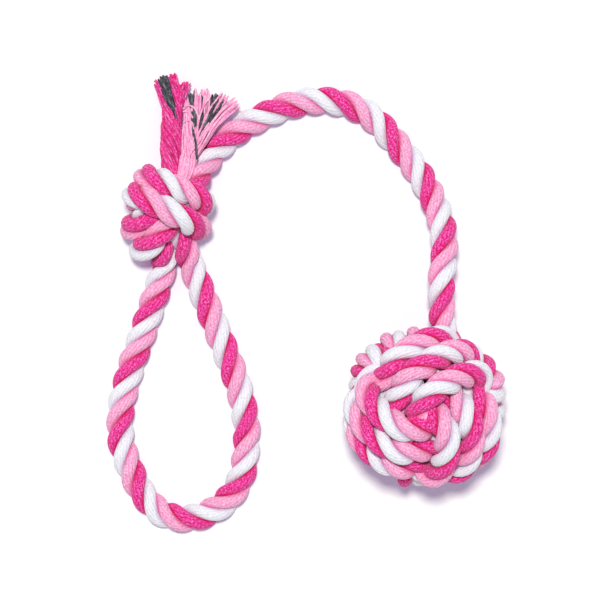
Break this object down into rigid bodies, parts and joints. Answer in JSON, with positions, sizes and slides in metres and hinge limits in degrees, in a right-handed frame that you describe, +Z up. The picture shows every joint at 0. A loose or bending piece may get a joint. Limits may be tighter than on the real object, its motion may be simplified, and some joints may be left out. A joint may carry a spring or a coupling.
{
  "type": "rope dog toy",
  "caption": "Cotton rope dog toy: a ball wound as a monkey's fist on a curved rope lead, a hand loop closed by a knot, and frayed tails, for throwing and tugging.",
  "frame": {"origin": "middle of the toy's outline from above, on the floor it lies on", "axes": "+Z up from the floor, +Y from the hand loop towards the tails, +X from the hand loop towards the ball"},
  "size_m": [0.1778, 0.2018, 0.0672],
  "materials": {
    "hot_pink_cotton": "matte, fuzzy twisted yarn",
    "light_pink_cotton": "matte, fuzzy twisted yarn",
    "white_cotton": "matte, fuzzy twisted yarn",
    "grey_filler": "matte loose yarn",
    "core": "plain, hidden"
  },
  "bodies": {
    "knot": {"knot_standing_turns": "light_pink_cotton", "knot_working_turns": "hot_pink_cotton", "lead_knot_end": "white_cotton", "lead_knot_flex": "light_pink_cotton", "handle_left_flex": "light_pink_cotton", "handle_right_flex": "light_pink_cotton"},
    "lead": {"lead_middle": "hot_pink_cotton", "lead_ball_flex": "light_pink_cotton"},
    "ball": {"fist_core": "core", "fist_winding": "hot_pink_cotton", "lead_ball_end": "white_cotton"},
    "handle": {"handle_left_leg": "white_cotton", "handle_right_leg": "white_cotton", "handle_left_fold": "light_pink_cotton", "handle_right_fold": "light_pink_cotton"},
    "bow": {"handle_bow": "hot_pink_cotton"},
    "hot_pink_end": {"hot_pink_tail": "hot_pink_cotton", "hot_pink_filler": "grey_filler"},
    "light_pink_end": {"light_pink_tail": "light_pink_cotton", "light_pink_filler": "grey_filler"},
    "white_end": {"white_tail": "white_cotton", "white_filler": "grey_filler"}
  },
  "joints": [
    {"name": "lead_bend", "type": "hinge", "parent": "knot", "child": "lead", "pos_m": [0.0098, 0.0908, 0.005], "axis": [0, 0, 1], "range_deg": [-12, 75], "deforming": ["lead_knot_flex"]},
    {"name": "ball_lift", "type": "hinge", "parent": "lead", "child": "ball", "pos_m": [0.0586, 0.0416, 0.0114], "axis": [-0.9488, -0.3159, 0], "range_deg": [0, 80], "deforming": ["lead_ball_flex"]},
    {"name": "handle_lift", "type": "hinge", "parent": "knot", "child": "handle", "pos_m": [-0.0565, 0.0056, 0.005], "axis": [-1, 0, 0], "range_deg": [0, 85], "deforming": ["handle_left_flex", "handle_right_flex"]},
    {"name": "handle_fold", "type": "hinge", "parent": "handle", "child": "bow", "pos_m": [-0.0537, -0.0684, 0.005], "axis": [-1, 0, 0], "range_deg": [0, 85], "deforming": ["handle_left_fold", "handle_right_fold"]},
    {"name": "hot_pink_lift", "type": "hinge", "parent": "knot", "child": "hot_pink_end", "pos_m": [-0.0559, 0.0636, 0.0145], "axis": [1, 0, 0], "range_deg": [0, 60], "deforming": ["hot_pink_tail", "hot_pink_filler"]},
    {"name": "light_pink_lift", "type": "hinge", "parent": "knot", "child": "light_pink_end", "pos_m": [-0.0559, 0.0636, 0.0145], "axis": [1, 0, 0], "range_deg": [0, 60], "deforming": ["light_pink_tail", "light_pink_filler"]},
    {"name": "white_lift", "type": "hinge", "parent": "knot", "child": "white_end", "pos_m": [-0.0559, 0.0636, 0.0145], "axis": [1, 0, 0], "range_deg": [0, 60], "deforming": ["white_tail", "white_filler"]}
  ],
  "couplings": [
    {"joint": "white_lift", "follows": "light_pink_lift", "ratio": 1}
  ]
}
